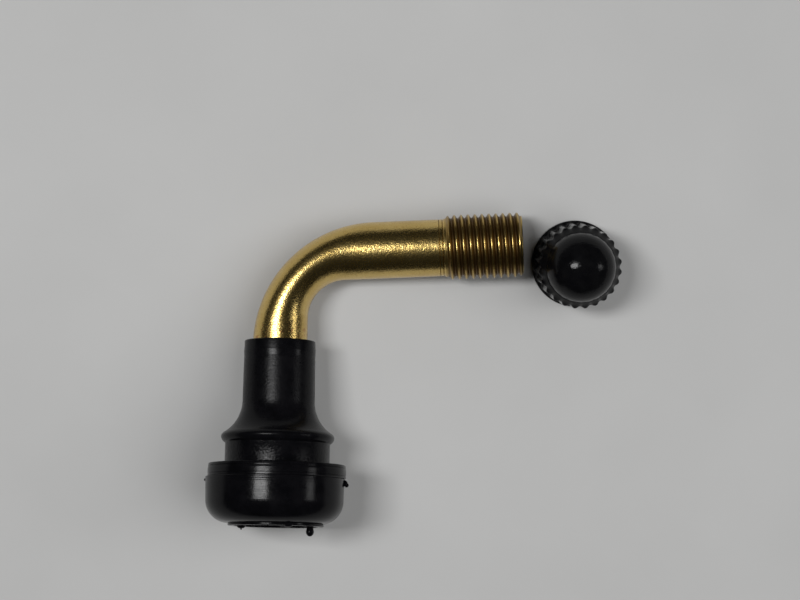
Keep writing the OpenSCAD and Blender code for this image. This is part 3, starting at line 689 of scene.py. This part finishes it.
COIL_SIZES = ("Turns", "Coil radius", "Wire radius", "Length", "End closing")
coil_tree = sheet_tree("wound_wire", COIL_SIZES, coil)
coil_rows = ROWS_PER_COIL * spring_turns + 1
spring_sheet = sheet(coil_tree, spring_steel.material, coil_rows, WIRE_SIDES + 1, {
    "Turns": float(spring_turns), "Coil radius": coil_r, "Wire radius": wire_r, "Length": spring_length,
    "End closing": end_closing,
})
across_arm = base_axis.cross(arm_axis)
core_place = Matrix.Translation(mouth - arm_axis * spring_floor * MM) @ Matrix(
    (across_arm.cross(arm_axis).normalized(), across_arm.normalized(), arm_axis)
).transposed().to_4x4() @ Matrix.Scale(MM, 4)
wire = bmesh.new()
wire.from_mesh(spring_sheet)
bmesh.ops.remove_doubles(wire, verts=wire.verts, dist=WELD_GAP)
bmesh.ops.holes_fill(wire, edges=[e for e in wire.edges if e.is_boundary], sides=0)
wire.to_mesh(spring_sheet)
wire.free()
spring = closed_piece("core_spring_wire", [spring_sheet], core_place, spring_steel.material, crease=50)
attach(spring, "valve")
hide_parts("core_spring")
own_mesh(spring)

# The cap: glossy black plastic, moulded in one piece with grip ribs round it and the stem's thread inside.
# It has been screwed off and stands on its open end beside the stem.
CAP_SIDES, RIB_ROWS = 192, 72
rib_count, rib_turn = 24, math.radians(9)
rim_r, rim_h, rib_tip_r, rib_root_r, rib_top_h = 4.975, 0.9, 4.775, 4.475, 7.2
dome_foot_h, dome_base_r, dome_r, dome_h = 8.0, 3.975, 3.98522, 3.7
cap_bore_r, cap_lead, cap_bore_depth, dome_wall = 3.875, 0.3, 7.0, 1.1
inner_thread_depth, inner_run_in, inner_run_out = 0.38, 0.6, 0.8
cap_foot = Vector(mounts["cap_thread"]["pos_m"])
cap_foot.z = 0
cap_place = Matrix.Translation(cap_foot) @ Matrix.Scale(MM, 4)

plastic = Finish("gloss_plastic", Specular_IOR_Level=0.13)
haze = plastic.noise(1.2, 4.0)
plastic.set("Base Color", plastic.mixed(
    plastic.spread(haze, 0.35, 0.7), (0.0028, 0.0028, 0.0033), (0.005, 0.005, 0.0055)
))
scuffs = plastic.spread(plastic.noise(0.08), 0.55, 0.8, 0.0, 0.08)
plastic.set("Roughness", plastic.number("ADD", plastic.spread(haze, 0.3, 0.7, 0.08, 0.13), scuffs))
plastic.relief(plastic.noise(0.22, 2.0), 0.02)


def ribbed_wall(along, around, size):
    """The cap's wall: rounded ribs that run out of the sloped rim and end in a slope at the top."""
    level = size["Rim height"] + (size["Rib top"] - size["Rim height"]) * along
    turn = around * math.tau
    lobe = (((turn - size["First rib"]) * size["Ribs"]).cosine() * 0.58 + 0.5).within(0, 1)
    radius = size["Root radius"] + (size["Tip radius"] - size["Root radius"]) * lobe
    radius = radius.most(size["Rim radius"] - level + size["Rim height"])
    radius = radius.least(size["Root radius"] + size["Rib top"] - level)
    return radius * turn.cosine(), radius * turn.sine(), level


RIB_SIZES = ("Ribs", "First rib", "Root radius", "Tip radius", "Rim radius", "Rim height", "Rib top")
rib_tree = sheet_tree("ribbed_wall", RIB_SIZES, ribbed_wall)


def cap_rings(section):
    return [ring(r, h * up_dir, in_dir, side_dir, CAP_SIDES) for r, h in section]


dome_centre = (0, dome_foot_h + dome_h - dome_r)
dome_start = math.degrees(math.asin((dome_foot_h - dome_centre[1]) / dome_r))
hollow_r = dome_r - dome_wall
hollow_foot_h = cap_bore_depth + cap_bore_r - hollow_r
hollow_start = math.degrees(math.asin((hollow_foot_h - dome_centre[1]) / hollow_r))
cap_thread = thread_sheet(
    plastic.material, CAP_SIDES, cap_thread_pitch, cap_bore_depth - cap_lead, cap_bore_r,
    -inner_thread_depth, inner_run_in, inner_run_out, rows_per_turn=8,
)
cap_thread.transform(Matrix.Translation((0, 0, cap_lead)))
cap_sheets = [
    ring_sheet(cap_rings(eased([
        (cap_bore_r, cap_lead, 0), (cap_bore_r + cap_lead, 0, 0.08), (rim_r, 0, 0.12), (rim_r, rim_h, 0),
    ]))),
    sheet(rib_tree, plastic.material, RIB_ROWS, CAP_SIDES + 1, {
        "Ribs": float(rib_count), "First rib": rib_turn, "Root radius": rib_root_r,
        "Tip radius": rib_tip_r, "Rim radius": rim_r, "Rim height": rim_h, "Rib top": rib_top_h,
    }),
    ring_sheet(
        cap_rings(eased([
            (rib_root_r, rib_top_h, 0), (dome_base_r + 0.06, dome_foot_h - 0.07, 0.04),
            (dome_base_r, dome_foot_h, 0),
        ]))
        + cap_rings(arc(dome_centre, dome_r, dome_start, 90, 36))
    ),
    cap_thread,
    ring_sheet(
        cap_rings([(cap_bore_r, cap_bore_depth), (hollow_r, hollow_foot_h)])
        + cap_rings(arc(dome_centre, hollow_r, hollow_start, 90, 16))
    ),
]
cap = closed_piece("ribbed_cap", cap_sheets, cap_place, plastic.material, crease=32)
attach(cap, "valve")
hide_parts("cap")

# The table top: a plain pale sheet that everything lies on. It belongs to the picture only, so it is
# attached to no body and is no piece of the part.
half_table = 1.2
table_mesh = bpy.data.meshes.new("table_top")
table_corners = [(x * half_table, y * half_table, 0) for x, y in ((-1, -1), (1, -1), (1, 1), (-1, 1))]
table_mesh.from_pydata(table_corners, [], [(0, 1, 2, 3)])
table_top = bpy.data.objects.new("table_top", table_mesh)
bpy.context.scene.collection.objects.link(table_top)
pale = Finish("pale_sheet", Specular_IOR_Level=0.3)
pale.set("Base Color", pale.mixed(
    pale.spread(pale.noise(30.0), 0.3, 0.7), (0.50, 0.50, 0.495), (0.53, 0.53, 0.525)
))
pale.set("Roughness", pale.spread(pale.noise(2.0), 0.3, 0.7, 0.7, 0.8))
table_mesh.materials.append(pale.material)

# Studio light: a long soft box above on the left, a small one low on the right, and a broad fill overhead
# that lights the floor but isn't mirrored by the glossy pieces. The room round them is dim.
middle = Vector((0, 0.004, 0.006))
room_strength = 0.015


def soft_box(name, aside, behind, above, width, height, power):
    """A soft box that faces the object, with its width along the arm."""
    lamp = bpy.data.lights.new(name, "AREA")
    lamp.shape = "RECTANGLE"
    lamp.size, lamp.size_y, lamp.energy = width, height, power
    box = bpy.data.objects.new(name, lamp)
    out = Vector((aside, behind, above)).normalized()
    across = (Vector((1, 0, 0)) - out * out.x).normalized()
    turn = Matrix((across, out.cross(across), out)).transposed().to_4x4()
    box.matrix_world = Matrix.Translation(middle + Vector((aside, behind, above))) @ turn
    bpy.context.scene.collection.objects.link(box)
    return box


soft_box("long_soft_box", aside=-0.193, behind=0.084, above=0.42, width=0.165, height=0.085, power=1.2)
soft_box("low_soft_box", aside=0.42, behind=0.045, above=0.235, width=0.11, height=0.10, power=0.15)
overhead_fill = soft_box(
    "overhead_fill", aside=0.28, behind=0.0, above=0.5, width=0.5, height=0.5, power=1.7
)
overhead_fill.visible_glossy = False
world = bpy.data.worlds.new("dim_room")
bpy.context.scene.world = world
world.use_nodes = True
room = world.node_tree.nodes["Background"]
room.inputs["Color"].default_value = (1, 1, 1, 1)
room.inputs["Strength"].default_value = room_strength

# The camera: it looks down on the table, nearly upright, as in the photograph. Its place and focal length
# are fitted to the outlines of the stem, the rubber base and the cap.
picture_px, focal_px, camera_distance = 800, 2479.44, 0.287805
lean_x, lean_y, twist = -0.035931, 0.075693, math.radians(-1.5016)
aim = Vector((-0.0015475, 0.0079701, 0))
towards = Vector((lean_x, lean_y, math.sqrt(1 - lean_x ** 2 - lean_y ** 2)))
upright = Vector((math.sin(twist), math.cos(twist), 0))
upright = (upright - towards * upright.dot(towards)).normalized()
camera_data = bpy.data.cameras.new("camera")
camera_data.sensor_width = 36
camera_data.lens = focal_px * camera_data.sensor_width / picture_px
camera_data.clip_start = 0.01
camera = bpy.data.objects.new("camera", camera_data)
camera.matrix_world = Matrix.Translation(aim + towards * camera_distance) @ Matrix(
    (upright.cross(towards), upright, towards)
).transposed().to_4x4()
bpy.context.scene.collection.objects.link(camera)
bpy.context.scene.camera = camera
bpy.context.scene.view_settings.view_transform = "Standard"
